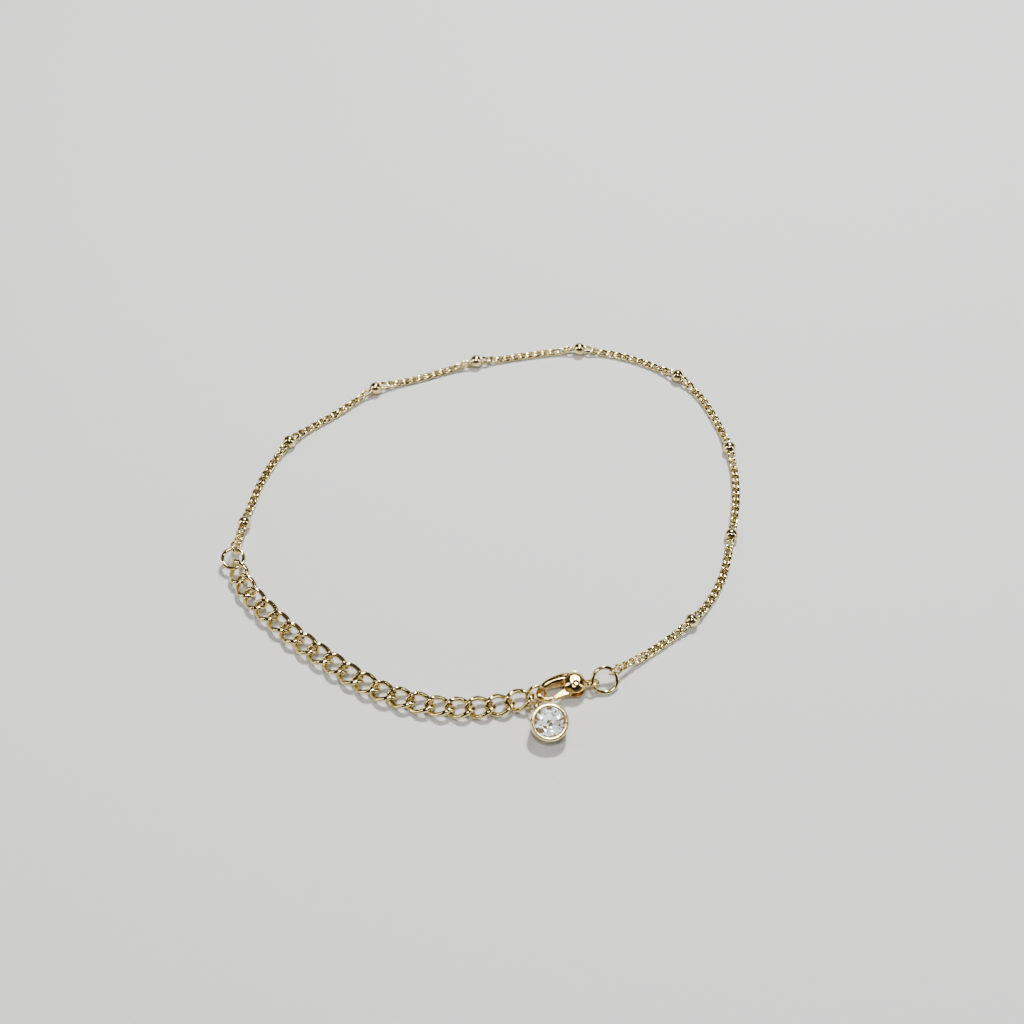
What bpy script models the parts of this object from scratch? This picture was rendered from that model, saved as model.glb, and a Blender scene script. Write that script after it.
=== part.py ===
"""Link bracelet with a round stone charm, lying closed on a flat surface.

A fine curb chain with nine small beads runs round the wrist opening from the left jump ring to the
right one. Nineteen heavier curb links run from the left ring to the end ring. The lobster clasp hangs
on the right ring by its eye and holds the end ring in its hook, so the bracelet is one closed loop.
The charm hangs from the end ring on a small oval ring of its own.

Frame: +Z up, X to the right and Y away from the wearer's side of the clasp. The origin is under the
middle of the bracelet, on the surface that it lies on. Lengths are in metres.
"""

import math

import bmesh
import bpy
from mathutils import Matrix, Vector

MM = 0.001

# Gaps between pieces that touch on the real bracelet
CONTACT_GAP = 0.12 * MM
FACE_GAP = 0.2 * MM

# Fine chain
FINE_PITCH = 1.14 * MM
FINE_WIRE = 0.36 * MM
FINE_WIDTH = 1.24 * MM
FINE_TWIST = math.radians(-88)
FINE_NECK_RADIUS = 0.32 * MM
FINE_NECK_LENGTH = 0.25 * MM
FINE_END_RISE = 6.0 * MM

# The chain's two end links, which hold the jump rings
END_LINK_PITCH = 1.3 * MM
END_LINK_WIDTH = 1.75 * MM
END_LINK_GAP = 0.2 * MM
LEFT_END_LINK_ROLL = math.radians(46)
RIGHT_END_LINK_ROLL = math.radians(-80)

# Beads on the fine chain
BEAD_RADIUS = 0.925 * MM
BEAD_SPACING = 15.62 * MM
BEAD_FIRST = 5.1 * MM
BEAD_LAST_ROOM = 5.0 * MM
BEAD_BORE_GAP = 0.16 * MM
BEAD_LIFT_REACH = 2.6 * MM

# Extender of heavier curb links
EXTENDER_COUNT = 19
EXTENDER_WIRE = 0.64 * MM
EXTENDER_WIDTH = 3.1 * MM
EXTENDER_TWIST = math.radians(-88)
EXTENDER_GAP = 0.26 * MM
EXTENDER_ROLLS = (33, 26, 19, 9, 4, 6, 10, 2, 4, 8, 4, -4, 2, 4, -4, 2, 8, 8, 6)

# Jump rings, each with its middle, its size and how it leans towards the wearer's side
LEFT_RING_MIDDLE = Vector((-33.7, -6.1, 1.58)) * MM
LEFT_RING_DIAMETER = 3.35 * MM
LEFT_RING_WIRE = 0.54 * MM
LEFT_RING_LEAN = math.radians(15)
LEFT_RING_CHAIN_ANGLE = math.radians(82)
LEFT_RING_LINK_ANGLE = math.radians(-72)
RIGHT_RING_DIAMETER = 3.7 * MM
RIGHT_RING_WIRE = 0.54 * MM
RIGHT_RING_LEAN = math.radians(37)
RIGHT_RING_CHAIN_ANGLE = math.radians(32)
END_RING_DIAMETER = 2.85 * MM
END_RING_WIRE = 0.42 * MM
END_RING_LEAN = math.radians(64)
END_RING_LINK_ANGLE = math.radians(178)
END_RING_CHARM_ANGLE = math.radians(-132)
END_RING_PAST_BAR = 0.3 * MM
END_RING_ACROSS = 0.15 * MM
END_RING_RAISE = 0.1 * MM

# Lobster clasp: lengths run from the eye's middle towards the hook, widths towards the lever's side
CLASP_EYE = Vector((13.75, -25.3, 1.25)) * MM
CLASP_TURN = math.radians(193.4)
EYE_RADIUS = 0.68 * MM
EYE_WIRE = 0.4 * MM
EYE_ROLL = math.radians(30)
CLASP_THICKNESS = 2.5 * MM
CLASP_FLATTEN = 1.22
HOOK_REACH = 7.13 * MM
HOOK_BOW = 1.28 * MM
HOOK_ROOT_RADIUS = 0.82 * MM
HOOK_SHAPE = (
    (0.309, -0.82, 1.0),
    (0.463, -1.0, 0.976),
    (0.617, -1.0, 0.878),
    (0.757, -0.875, 0.756),
    (0.884, -0.61, 0.573),
    (0.972, -0.26, 0.439),
    (1.0, 0.094, 0.402),
    (0.975, 0.484, 0.39),
    (0.912, 0.766, 0.39),
    (0.834, 0.89, 0.378),
    (0.785, 0.94, 0.366),
)
BASE_ALONG = 2.35 * MM
BASE_ASIDE = -0.3 * MM
BASE_HALF_LENGTH = 1.6 * MM
BASE_HALF_WIDTH = 1.7 * MM
BASE_HALF_HEIGHT = 1.36 * MM
NECK_RADIUS = 0.5 * MM
NECK_LENGTH = 1.1 * MM
SLOT_HEIGHT = 0.9 * MM
SLOT_BACK = 1.36 * MM
NIB_SLOT_BACK = 0.45 * MM
NIB_SLOT_FRONT = 2.9 * MM
PIN_ALONG = 2.35 * MM
PIN_ASIDE = 0.25 * MM
PIN_RADIUS = 0.28 * MM
PIN_RECESS = 0.15 * MM
LEVER_BOSS_RADIUS = 0.62 * MM
LEVER_HALF_WIDTH = 0.28 * MM
NIB_ROOT_RADIUS = 0.4 * MM
NIB_DEPTH_SHARE = 0.96
LEVER_TIP_ALONG = 5.4 * MM
LEVER_TIP_ASIDE = 1.16 * MM
NIB_TIP_ALONG = 1.85 * MM
NIB_TIP_ASIDE = -2.2 * MM

# Charm: a bezel cup that leans towards the wearer's side, with its stone
CHARM_MIDDLE = Vector((8.2, -32.08)) * MM
CHARM_LEAN = math.radians(26)
BEZEL_RADIUS = 2.4 * MM
BEZEL_BACK_RADIUS = 2.25 * MM
BEZEL_DEPTH = 2.3 * MM
BEZEL_WALL = 0.32 * MM
BEZEL_EDGE = 0.08 * MM
BEZEL_LIP = 0.08 * MM
BEZEL_LIP_RISE = 0.2 * MM
BEZEL_HOLE_RADIUS = 0.45 * MM
BEZEL_LOOP_RADIUS = 0.56 * MM
BEZEL_LOOP_WIRE = 0.34 * MM
BEZEL_LOOP_AZIMUTH = math.radians(40)
BEZEL_LOOP_DEPTH = 1.9 * MM
CHARM_RING_WIRE = 0.32 * MM
CHARM_RING_HALF_WIDTH = 0.75 * MM
CHARM_RING_GAP = 0.19 * MM
CHARM_RING_ROLL = math.radians(-20)
STONE_RADIUS = 1.95 * MM
STONE_TABLE_RADIUS = 1.12 * MM
STONE_CROWN = 0.55 * MM
STONE_GIRDLE = 0.1 * MM
STONE_PAVILION = 1.69 * MM
STONE_CULET_RADIUS = 0.06 * MM
STONE_STAND = 0.1 * MM
STONE_SIDES = 16
STONE_GAP = 0.14 * MM

# Route of the fine chain, then of the extender, seen from above
CHAIN_ROUTE = (
    (-32.55, 3.10), (-30.75, 10.00), (-27.25, 16.10), (-21.86, 20.70), (-16.36, 25.30), (-9.76, 27.80),
    (-3.06, 30.30), (3.75, 31.90), (10.84, 33.10), (17.84, 32.70), (24.45, 30.10), (29.84, 25.70),
    (32.95, 19.30), (34.55, 12.30), (34.55, 5.20), (33.25, -1.80), (31.45, -8.70), (27.84, -14.70),
    (22.45, -19.40),
)
EXTENDER_ROUTE = (
    (-30.96, -11.70), (-27.55, -15.20), (-24.05, -18.60), (-20.25, -21.50), (-16.36, -24.40),
    (-12.16, -26.70), (-7.56, -28.20), (-2.75, -28.80), (2.04, -28.40),
)

GOLD = (0.83, 0.73, 0.45, 1.0)
CLASP_GOLD = (0.80, 0.62, 0.27, 1.0)
STONE_CLEAR = (0.93, 0.95, 0.98, 1.0)


def clear_scene():
    for item in list(bpy.data.objects):
        bpy.data.objects.remove(item)


def material(name, colour, roughness, metallic):
    made = bpy.data.materials.new(name)
    made.use_nodes = True
    shader = made.node_tree.nodes["Principled BSDF"]
    shader.inputs["Base Color"].default_value = colour
    shader.inputs["Roughness"].default_value = roughness
    shader.inputs["Metallic"].default_value = metallic
    return made


def collection(name):
    made = bpy.data.collections.new(name)
    bpy.context.scene.collection.children.link(made)
    return made


def new_object(name, mesh, target, finish=None):
    made = bpy.data.objects.new(name, mesh)
    target.objects.link(made)
    if finish is not None:
        mesh.materials.append(finish)
    return made


def shade(mesh, angle=math.radians(35)):
    mesh.shade_smooth()
    mesh.set_sharp_from_angle(angle=angle)


class Route:
    """A smooth line through chosen points, measured by its length."""

    def __init__(self, points, steps=24):
        self.points = []
        ends = [points[0] * 2 - points[1]] + list(points) + [points[-1] * 2 - points[-2]]
        for a, b, c, d in zip(ends, ends[1:], ends[2:], ends[3:]):
            for k in range(steps):
                t = k / steps
                self.points.append(
                    0.5 * (2 * b + (c - a) * t + (2 * a - 5 * b + 4 * c - d) * t**2
                           + (3 * b - a - 3 * c + d) * t**3)
                )
        self.points.append(points[-1].copy())
        self.marks = [0.0]
        for a, b in zip(self.points, self.points[1:]):
            self.marks.append(self.marks[-1] + (b - a).length)
        self.length = self.marks[-1]

    def at(self, s):
        """The point at length s; past either end the line runs on straight."""
        marks = self.marks
        k = 0
        while k < len(marks) - 2 and marks[k + 1] < s:
            k += 1
        share = (s - marks[k]) / (marks[k + 1] - marks[k])
        return self.points[k].lerp(self.points[k + 1], share)


def ease(distance, reach):
    """1 at no distance, falling smoothly to 0 at the reach."""
    if abs(distance) >= reach:
        return 0.0
    return 0.5 + 0.5 * math.cos(math.pi * distance / reach)


def wire_object(name, points, wire, target, finish=None, cyclic=True, sides=6, radii=None):
    """A wire through the points, as a curve object with round section."""
    curve = bpy.data.curves.new(name, "CURVE")
    curve.dimensions = "3D"
    curve.bevel_depth = wire / 2
    curve.bevel_resolution = sides // 2 - 2
    curve.use_fill_caps = not cyclic
    spline = curve.splines.new("POLY")
    spline.points.add(len(points) - 1)
    for k, (slot, point) in enumerate(zip(spline.points, points)):
        slot.co = (*point, 1.0)
        slot.radius = 1.0 if radii is None else radii[k] / (wire / 2)
    spline.use_cyclic_u = cyclic
    made = bpy.data.objects.new(name, curve)
    target.objects.link(made)
    if finish is not None:
        curve.materials.append(finish)
    return made


def as_mesh(source, target):
    """The curve object made a welded mesh object of the same name and place."""
    graph = bpy.context.evaluated_depsgraph_get()
    mesh = bpy.data.meshes.new_from_object(source.evaluated_get(graph))
    weld(mesh)
    name = source.name
    place = source.matrix_world.copy()
    bpy.data.objects.remove(source)
    made = new_object(name, mesh, target)
    made.matrix_world = place
    return made


def weld(mesh):
    shape = bmesh.new()
    shape.from_mesh(mesh)
    bmesh.ops.remove_doubles(shape, verts=shape.verts, dist=0.002 * MM)
    bmesh.ops.recalc_face_normals(shape, faces=shape.faces)
    shape.to_mesh(mesh)
    shape.free()


def circle(radius, count, start=0.0):
    return [
        Vector((radius * math.cos(start + math.tau * k / count),
                radius * math.sin(start + math.tau * k / count), 0.0))
        for k in range(count)
    ]


def leaning_frame(middle, turn, lean):
    """A frame turned about Z whose far side is then raised by the lean."""
    return Matrix.Translation(middle) @ Matrix.Rotation(turn, 4, "Z") @ Matrix.Rotation(lean, 4, "X")


def ring_point(frame, radius, angle):
    return frame @ Vector((radius * math.cos(angle), radius * math.sin(angle), 0.0))


def curb_points(half_length, half_width, twist, count=14):
    """Middle line of one curb link: an oval twisted about the chain's direction."""
    points = []
    for k in range(count):
        t = math.tau * (k + 0.5) / count
        x = half_length * math.cos(t)
        s = half_width * math.sin(t)
        turn = twist / 2 * math.cos(t)
        points.append(Vector((x, s * math.cos(turn), s * math.sin(turn))))
    return points


def link_frame(start, end, roll):
    """Frame of a link that lies between two points, rolled about the line between them."""
    along = (end - start).normalized()
    side = Vector((0, 0, 1)).cross(along).normalized()
    up = along.cross(side)
    turned = Matrix((along, side, up)).transposed().to_4x4()
    return Matrix.Translation((start + end) / 2) @ turned @ Matrix.Rotation(roll, 4, "X")


def place_link(name, start, end, sizes, roll, target, finish):
    half_length, half_width, twist, wire = sizes
    frame = link_frame(start, end, roll)
    points = [frame @ p for p in curb_points(half_length, half_width, twist)]
    return wire_object(name, points, wire, target, finish)


def flat_route(start, middle_points, end):
    """Route from one ring to another, seen from above."""
    flat = [Vector((start.x, start.y, 0))]
    flat += [Vector((x * MM, y * MM, 0)) for x, y in middle_points]
    flat.append(Vector((end.x, end.y, 0)))
    return Route(flat)


def at_height(route, s, height):
    point = route.at(s)
    return Vector((point.x, point.y, height))


def link_drop(sizes, roll):
    """How far a lying link reaches below its own axis."""
    half_length, half_width, twist, wire = sizes
    turned = Matrix.Rotation(roll, 3, "X")
    return wire / 2 - min((turned @ p).z for p in curb_points(half_length, half_width, twist, 48))


def build_rings(target, finish):
    left = leaning_frame(LEFT_RING_MIDDLE, 0.0, LEFT_RING_LEAN)
    left_radius = (LEFT_RING_DIAMETER - LEFT_RING_WIRE) / 2
    along = clasp_frame().to_3x3() @ Vector((1, 0, 0))
    lean_turn = CLASP_TURN - math.pi
    right_radius = (RIGHT_RING_DIAMETER - RIGHT_RING_WIRE) / 2
    right = leaning_frame(CLASP_EYE - along * right_radius, lean_turn, RIGHT_RING_LEAN)
    end_radius = (END_RING_DIAMETER - END_RING_WIRE) / 2
    bar = clasp_frame() @ Vector((HOOK_REACH, 0, 0))
    across = clasp_frame().to_3x3() @ Vector((0, 1, 0))
    end_middle = bar + along * END_RING_PAST_BAR + across * END_RING_ACROSS
    end_middle.z += END_RING_RAISE
    end = leaning_frame(end_middle, lean_turn, END_RING_LEAN)
    for name, frame, radius, wire in (
        ("jump_ring_left", left, left_radius, LEFT_RING_WIRE),
        ("jump_ring_right", right, right_radius, RIGHT_RING_WIRE),
        ("end_ring", end, end_radius, END_RING_WIRE),
    ):
        points = [frame @ p for p in circle(radius, 16)]
        wire_object(name, points, wire, target, finish)
    return {
        "left_chain": ring_point(left, left_radius, LEFT_RING_CHAIN_ANGLE),
        "left_extender": ring_point(left, left_radius, LEFT_RING_LINK_ANGLE),
        "right_chain": ring_point(right, right_radius, RIGHT_RING_CHAIN_ANGLE),
        "end_extender": ring_point(end, end_radius, END_RING_LINK_ANGLE),
        "end_charm": ring_point(end, end_radius, END_RING_CHARM_ANGLE),
    }


def build_extender(target, finish, start, end):
    route = flat_route(start, EXTENDER_ROUTE, end)
    first_hold = (LEFT_RING_WIRE + EXTENDER_WIRE) / 2 + EXTENDER_GAP
    last_hold = (END_RING_WIRE + EXTENDER_WIRE) / 2 + EXTENDER_GAP
    pitch = (route.length + first_hold + last_hold - EXTENDER_WIRE - EXTENDER_GAP) / EXTENDER_COUNT
    half_length = (pitch + EXTENDER_WIRE + EXTENDER_GAP) / 2
    half_width = (EXTENDER_WIDTH - EXTENDER_WIRE) / 2
    sizes = (half_length, half_width, EXTENDER_TWIST, EXTENDER_WIRE)
    rolls = [math.radians(EXTENDER_ROLLS[k % len(EXTENDER_ROLLS)]) for k in range(EXTENDER_COUNT)]
    drops = [link_drop(sizes, roll) for roll in rolls]
    heights = [start.z] + [max(a, b) for a, b in zip(drops, drops[1:])] + [end.z]
    for k, roll in enumerate(rolls):
        middle = half_length - first_hold + k * pitch
        place_link(f"extender_link_{k + 1:02d}",
                   at_height(route, middle - pitch / 2, heights[k]),
                   at_height(route, middle + pitch / 2, heights[k + 1]),
                   sizes, roll, target, finish)


def build_fine_chain(target, finish, start, end):
    floor_height = FINE_WIDTH / 2
    route = flat_route(start, CHAIN_ROUTE, end)
    length = route.length
    count = 1 + math.floor((length - BEAD_FIRST - BEAD_LAST_ROOM) / BEAD_SPACING)
    beads = [BEAD_FIRST + k * BEAD_SPACING for k in range(count)]

    def lifted(s):
        height = floor_height
        height += (start.z - floor_height) * ease(s, FINE_END_RISE)
        height += (end.z - floor_height) * ease(length - s, FINE_END_RISE)
        for bead in beads:
            outside = max(0.0, abs(s - bead) - BEAD_RADIUS)
            height += (BEAD_RADIUS - floor_height) * ease(outside, BEAD_LIFT_REACH)
        return at_height(route, s, height)

    half_length = (END_LINK_PITCH + FINE_WIRE + END_LINK_GAP) / 2
    sizes = (half_length, (END_LINK_WIDTH - FINE_WIRE) / 2, FINE_TWIST, FINE_WIRE)
    left_hold = (LEFT_RING_WIRE + FINE_WIRE) / 2 + END_LINK_GAP
    right_hold = (RIGHT_RING_WIRE + FINE_WIRE) / 2 + END_LINK_GAP
    left_middle = half_length - left_hold
    right_middle = length + right_hold - half_length
    for name, middle, roll in (
        ("chain_end_link_left", left_middle, LEFT_END_LINK_ROLL),
        ("chain_end_link_right", right_middle, RIGHT_END_LINK_ROLL),
    ):
        place_link(name, lifted(middle - END_LINK_PITCH / 2), lifted(middle + END_LINK_PITCH / 2),
                   sizes, roll, target, finish)

    outer = half_length + FINE_WIRE / 2 + FACE_GAP
    bore = FINE_NECK_RADIUS + BEAD_BORE_GAP
    bead_half = math.sqrt(BEAD_RADIUS**2 - bore**2)
    shoulder = bead_half + FACE_GAP
    stations = chain_stations(left_middle + outer, right_middle - outer, beads, shoulder)
    points = [lifted(s) for s, _ in stations]
    wire_object("satellite_chain", points, FINE_WIDTH, target, finish, cyclic=False, sides=8,
                radii=[radius for _, radius in stations])
    for k, bead in enumerate(beads):
        build_bead(f"bead_{k + 1}", lifted(bead - bead_half), lifted(bead + bead_half), bore,
                   target, finish)


def chain_stations(first, last, beads, shoulder):
    """Lengths along the chain where its tube has a point, with the tube's radius there."""
    full = FINE_WIDTH / 2
    step = FINE_NECK_LENGTH
    stations = []
    marks = [first] + beads + [last]
    for k, (a, b) in enumerate(zip(marks, marks[1:])):
        low = a + (shoulder + step if k else 0.0)
        high = b - (shoulder + step if k < len(beads) else 0.0)
        spans = max(1, round((high - low) / (3 * FINE_WIDTH)))
        if k:
            stations.append((low - step, FINE_NECK_RADIUS))
        for n in range(spans + 1):
            stations.append((low + (high - low) * n / spans, full))
        if k < len(beads):
            stations.append((high + step, FINE_NECK_RADIUS))
    return stations


def build_bead(name, start, end, bore, target, finish):
    """A round bead with a straight bore, turned from its half profile."""
    shape = bmesh.new()
    rise = math.asin(bore / BEAD_RADIUS)
    count = 7
    ring = []
    for k in range(count):
        angle = rise + (math.pi - 2 * rise) * k / (count - 1)
        ring.append(shape.verts.new((BEAD_RADIUS * math.cos(angle), 0, BEAD_RADIUS * math.sin(angle))))
    edges = [shape.edges.new((a, b)) for a, b in zip(ring, ring[1:] + ring[:1])]
    bmesh.ops.spin(shape, geom=ring + edges, cent=(0, 0, 0), axis=(1, 0, 0), angle=math.tau, steps=12,
                   use_merge=True)
    bmesh.ops.remove_doubles(shape, verts=shape.verts, dist=0.001 * MM)
    bmesh.ops.recalc_face_normals(shape, faces=shape.faces)
    mesh = bpy.data.meshes.new(name)
    shape.to_mesh(mesh)
    shape.free()
    shade(mesh)
    made = new_object(name, mesh, target, finish)
    made.matrix_world = link_frame(start, end, 0.0)


def clasp_frame():
    """The clasp's own frame: X from the eye to the hook, Y to the lever's side."""
    return Matrix.Translation(CLASP_EYE) @ Matrix.Rotation(CLASP_TURN, 4, "Z")


def box(name, low, high, target, frame):
    shape = bmesh.new()
    size = [b - a for a, b in zip(low, high)]
    middle = [(a + b) / 2 for a, b in zip(low, high)]
    bmesh.ops.create_cube(shape, size=1.0, matrix=Matrix.Translation(middle) @ Matrix.Diagonal((*size, 1)))
    mesh = bpy.data.meshes.new(name)
    shape.to_mesh(mesh)
    shape.free()
    made = new_object(name, mesh, target)
    made.matrix_world = frame
    made.hide_render = True
    made.display_type = "WIRE"
    return made


def cylinder(name, radius, low, high, place, target, frame, sides=20):
    shape = bmesh.new()
    bmesh.ops.create_cone(shape, cap_ends=True, segments=sides, radius1=radius, radius2=radius,
                          depth=high - low, matrix=Matrix.Translation((*place, (low + high) / 2)))
    mesh = bpy.data.meshes.new(name)
    shape.to_mesh(mesh)
    shape.free()
    made = new_object(name, mesh, target)
    made.matrix_world = frame
    return made


def combine(piece, other, operation):
    step = piece.modifiers.new(other.name, "BOOLEAN")
    step.operation = operation
    step.object = other
    step.solver = "EXACT"


def as_guide(item):
    item.hide_render = True
    item.display_type = "WIRE"
    return item


def build_clasp(target, cutters, finish, pin_finish):
    frame = clasp_frame()
    half = CLASP_THICKNESS / 2
    shape = bmesh.new()
    bmesh.ops.create_uvsphere(
        shape, u_segments=24, v_segments=14, radius=1.0,
        matrix=Matrix.Translation((BASE_ALONG, BASE_ASIDE, 0))
        @ Matrix.Diagonal((BASE_HALF_LENGTH, BASE_HALF_WIDTH, BASE_HALF_HEIGHT, 1)))
    mesh = bpy.data.meshes.new("clasp_body")
    shape.to_mesh(mesh)
    shape.free()
    body = new_object("clasp_body", mesh, target, finish)
    body.matrix_world = frame

    points = [Vector((u * HOOK_REACH, v * HOOK_BOW, 0)) for u, v, _ in HOOK_SHAPE]
    radii = [r * HOOK_ROOT_RADIUS for _, _, r in HOOK_SHAPE]
    hook = wire_object("clasp_hook_shape", points, 2 * radii[0], cutters, cyclic=False, sides=12, radii=radii)
    hook.matrix_world = frame @ Matrix.Diagonal((1, 1, CLASP_FLATTEN, 1))
    hook = as_guide(as_mesh(hook, cutters))

    eye = wire_object("clasp_eye_shape", circle(EYE_RADIUS, 16), EYE_WIRE, cutters, sides=8)
    eye.matrix_world = frame @ Matrix.Rotation(EYE_ROLL, 4, "X")
    eye = as_guide(as_mesh(eye, cutters))

    neck_start = EYE_RADIUS - EYE_WIRE / 4
    neck = as_guide(cylinder("clasp_neck_shape", NECK_RADIUS, 0, NECK_LENGTH, (0, 0), cutters, frame))
    neck.matrix_world = frame @ Matrix.Translation((neck_start, 0, 0)) @ Matrix.Rotation(math.pi / 2, 4, "Y")

    reach = 4 * CLASP_THICKNESS
    slot = SLOT_HEIGHT / 2
    keep = box("clasp_thickness", (-reach, -reach, -half), (reach, reach, half), cutters, frame)
    gate_slot = box("clasp_gate_slot", (SLOT_BACK, NECK_RADIUS - reach / 8, -slot),
                    (LEVER_TIP_ALONG, reach, slot), cutters, frame)
    nib_slot = box("clasp_nib_slot", (NIB_SLOT_BACK, -reach, -slot),
                   (NIB_SLOT_FRONT, -NECK_RADIUS, slot), cutters, frame)
    hole = as_guide(cylinder("clasp_pin_hole", PIN_RADIUS + CONTACT_GAP, -reach, reach,
                             (PIN_ALONG, PIN_ASIDE),
                             cutters, frame))
    combine(body, hook, "UNION")
    combine(body, neck, "UNION")
    combine(body, keep, "INTERSECT")
    combine(body, gate_slot, "DIFFERENCE")
    combine(body, nib_slot, "DIFFERENCE")
    combine(body, eye, "UNION")
    combine(body, hole, "DIFFERENCE")

    pin = cylinder("clasp_pin", PIN_RADIUS, -half + PIN_RECESS, half - PIN_RECESS, (0, 0), target,
                   frame @ Matrix.Translation((PIN_ALONG, PIN_ASIDE, 0)), 12)
    pin.data.materials.append(pin_finish)
    build_lever(target, cutters, finish, frame)


def build_lever(target, cutters, finish, frame):
    """The gate, its boss round the pin and its thumb nib, cut as one flat piece."""
    pin = Vector((PIN_ALONG, PIN_ASIDE))
    pivot = frame @ Matrix.Translation((*pin, 0))
    gate_reach = Vector((LEVER_TIP_ALONG, LEVER_TIP_ASIDE)) - pin
    nib_reach = Vector((NIB_TIP_ALONG, NIB_TIP_ASIDE)) - pin
    depth = SLOT_HEIGHT - 2 * CONTACT_GAP
    gate = lever_bar("clasp_lever", gate_reach, LEVER_HALF_WIDTH, LEVER_BOSS_RADIUS, depth, target)
    gate.data.materials.append(finish)
    nib = as_guide(lever_bar("clasp_nib_shape", nib_reach, LEVER_HALF_WIDTH,
                             NIB_ROOT_RADIUS, depth * NIB_DEPTH_SHARE, cutters))
    hole = as_guide(cylinder("clasp_lever_hole", PIN_RADIUS + CONTACT_GAP, -depth, depth, (0, 0), cutters,
                             pivot))
    gate.matrix_world = pivot
    nib.matrix_world = pivot
    combine(gate, nib, "UNION")
    combine(gate, hole, "DIFFERENCE")


def lever_bar(name, reach, half_width, boss, depth, target):
    """A flat bar with round ends, wide at the pivot and narrow at its tip."""
    heading = math.atan2(reach.y, reach.x)
    length = reach.length - half_width
    outline = []
    for k in range(9):
        angle = heading + math.pi / 2 + math.pi * k / 8
        outline.append(Vector((boss * math.cos(angle), boss * math.sin(angle), -depth / 2)))
    for k in range(7):
        angle = heading - math.pi / 2 + math.pi * k / 6
        outline.append(Vector((length * math.cos(heading) + half_width * math.cos(angle),
                               length * math.sin(heading) + half_width * math.sin(angle), -depth / 2)))
    shape = bmesh.new()
    face = shape.faces.new([shape.verts.new(p) for p in outline])
    grown = bmesh.ops.extrude_face_region(shape, geom=[face])
    top = [item for item in grown["geom"] if isinstance(item, bmesh.types.BMVert)]
    bmesh.ops.translate(shape, verts=top, vec=(0, 0, depth))
    bmesh.ops.recalc_face_normals(shape, faces=shape.faces)
    mesh = bpy.data.meshes.new(name)
    shape.to_mesh(mesh)
    shape.free()
    return new_object(name, mesh, target)


def charm_frame():
    """Frame of the charm's face: Z out of the stone, Y up the slope to its far side."""
    height = BEZEL_DEPTH * math.cos(CHARM_LEAN) + BEZEL_BACK_RADIUS * math.sin(CHARM_LEAN)
    return leaning_frame(Vector((*CHARM_MIDDLE, height)), 0.0, CHARM_LEAN)


def turned(name, profile, sides, target, finish, frame):
    """A closed half profile of radius and height, turned about the frame's Z."""
    mesh = bpy.data.meshes.new(name)
    count = len(profile)
    mesh.from_pydata([(r, 0, z) for r, z in profile], [(k, (k + 1) % count) for k in range(count)], [])
    made = new_object(name, mesh, target, finish)
    made.matrix_world = frame
    screw = made.modifiers.new("turned", "SCREW")
    screw.axis = "Z"
    screw.steps = sides
    screw.render_steps = sides
    screw.use_merge_vertices = True
    screw.merge_threshold = 0.000001
    screw.use_normal_calculate = True
    return made


def build_charm(target, cutters, finish, stone_finish, hook_point):
    frame = charm_frame()
    lip = STONE_RADIUS - BEZEL_LIP
    seat = STONE_RADIUS + STONE_GAP
    girdle_top = STONE_STAND - STONE_CROWN
    girdle_low = girdle_top - STONE_GIRDLE
    profile = [
        (BEZEL_RADIUS - BEZEL_EDGE, 0.0),
        (BEZEL_RADIUS, -BEZEL_EDGE),
        (BEZEL_RADIUS, -BEZEL_DEPTH / 2),
        (BEZEL_BACK_RADIUS, -BEZEL_DEPTH),
        (BEZEL_HOLE_RADIUS, -BEZEL_DEPTH),
        (BEZEL_HOLE_RADIUS, -BEZEL_DEPTH + BEZEL_WALL / 2),
        (seat, girdle_low - 2 * CONTACT_GAP),
        (seat, girdle_top + CONTACT_GAP / 2),
        (lip, girdle_top + BEZEL_LIP_RISE),
        (lip, -BEZEL_EDGE),
        (lip + BEZEL_EDGE, 0.0),
    ]
    setting = turned("charm_setting", profile, 28, target, finish, frame)

    out = Vector((-math.sin(BEZEL_LOOP_AZIMUTH), math.cos(BEZEL_LOOP_AZIMUTH), 0))
    root = frame @ (out * (BEZEL_BACK_RADIUS - BEZEL_WALL / 4) + Vector((0, 0, -BEZEL_LOOP_DEPTH)))
    heading = (hook_point - root).normalized()
    level = Vector((0, 0, 1)).cross(heading).normalized()
    upright = heading.cross(level)
    loop_middle = root + heading * BEZEL_LOOP_RADIUS
    loop_points = [loop_middle + heading * p.x + upright * p.y for p in circle(BEZEL_LOOP_RADIUS, 14)]
    loop = wire_object("charm_loop_shape", loop_points, BEZEL_LOOP_WIRE, cutters)
    combine(setting, as_guide(as_mesh(loop, cutters)), "UNION")

    near = 2 * BEZEL_LOOP_RADIUS - (BEZEL_LOOP_WIRE + CHARM_RING_WIRE) / 2 - CHARM_RING_GAP
    far = (hook_point - root).length + (END_RING_WIRE + CHARM_RING_WIRE) / 2 + CHARM_RING_GAP
    middle = root + heading * (near + far) / 2
    half_length = (far - near) / 2
    aside = level * math.cos(CHARM_RING_ROLL) + upright * math.sin(CHARM_RING_ROLL)
    oval = [middle + heading * half_length * p.x + aside * CHARM_RING_HALF_WIDTH * p.y
            for p in circle(1.0, 14)]
    wire_object("charm_ring", oval, CHARM_RING_WIRE, target, finish)
    build_stone(target, stone_finish, frame, girdle_top)


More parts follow.
